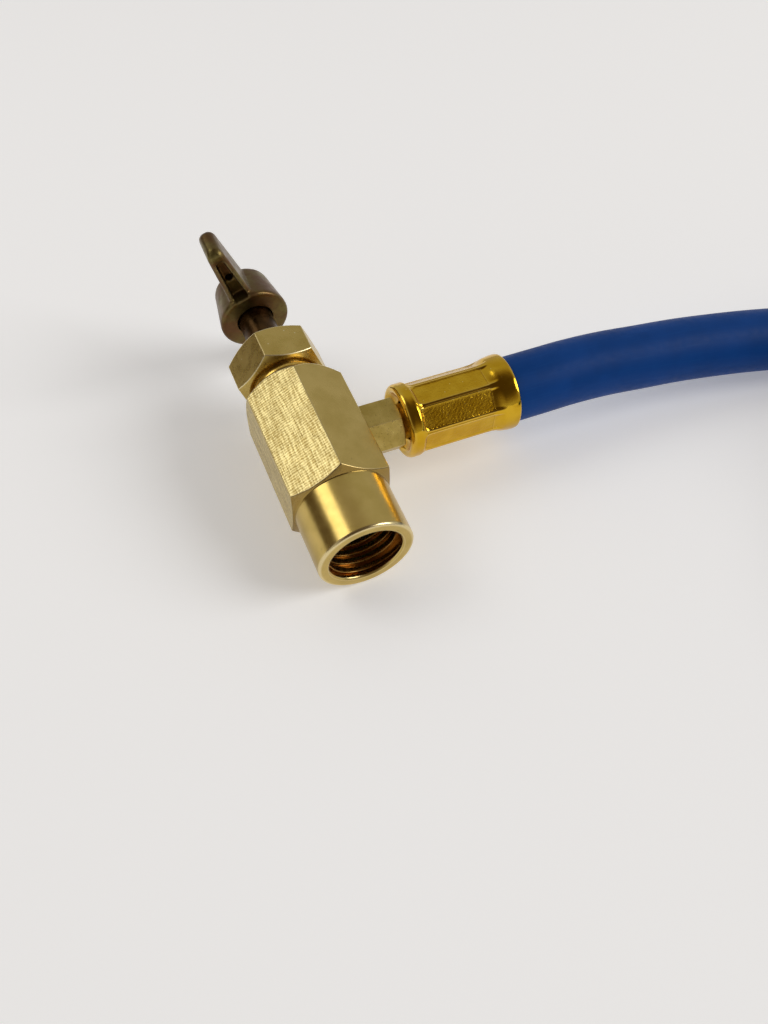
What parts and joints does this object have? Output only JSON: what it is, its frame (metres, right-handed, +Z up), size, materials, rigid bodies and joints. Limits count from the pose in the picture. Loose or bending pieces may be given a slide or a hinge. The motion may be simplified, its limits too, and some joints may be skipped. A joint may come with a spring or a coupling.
{
  "type": "refrigerant charging hose",
  "caption": "Brass can tap with a wing handle and a threaded can port, crimped to a blue rubber charging hose that ends in a swivel nut.",
  "frame": {"origin": "on the floor, under the middle of the tap with its branch and ferrule", "axes": "+Z up, -Y the way the can port looks (7.5 degrees down), +X the way the hose leaves the tap"},
  "size_m": [0.2228, 0.1937, 0.0299],
  "materials": {
    "tap_brass": "machined bar, fine grain",
    "nut_brass": "smooth machined",
    "stem_brass": "turned, under a brown film",
    "nipple_brass": "machined",
    "ferrule_gold": "polished",
    "handle_plating": "cast, yellow chromate plating",
    "seal_rubber": "matte",
    "gasket_rubber": "matte",
    "hose_rubber": "smooth, matte"
  },
  "bodies": {
    "tap": {"tap_body": "tap_brass", "can_seal": "seal_rubber", "packing_nut": "nut_brass", "hose_nipple": "nipple_brass", "crimp_ferrule": "ferrule_gold", "hose_run": "hose_rubber", "hose_coil": "hose_rubber", "hose_tail": "hose_rubber", "end_ferrule": "ferrule_gold", "end_tailpiece": "nipple_brass", "end_gasket": "gasket_rubber"},
    "stem": {"valve_stem": "stem_brass"},
    "handle": {"wing_handle": "handle_plating"},
    "swivel": {"end_nut": "nut_brass"}
  },
  "joints": [
    {"name": "stem_travel", "type": "slide", "parent": "tap", "child": "stem", "axis": [0, -0.9914, -0.1305], "range_m": [0, 0.005]},
    {"name": "handle_turn", "type": "hinge", "parent": "stem", "child": "handle", "pos_m": [-0.01285, 0.0211, 0.01444], "axis": [0, -0.9914, -0.1305], "range_deg": [0, 1440]},
    {"name": "nut_swivel", "type": "hinge", "parent": "tap", "child": "swivel", "pos_m": [0.16305, -0.02852, 0.0191], "axis": [1, 0, 0], "continuous": true}
  ],
  "couplings": [
    {"joint": "handle_turn", "follows": "stem_travel", "rad_per_m": 5026.5}
  ]
}
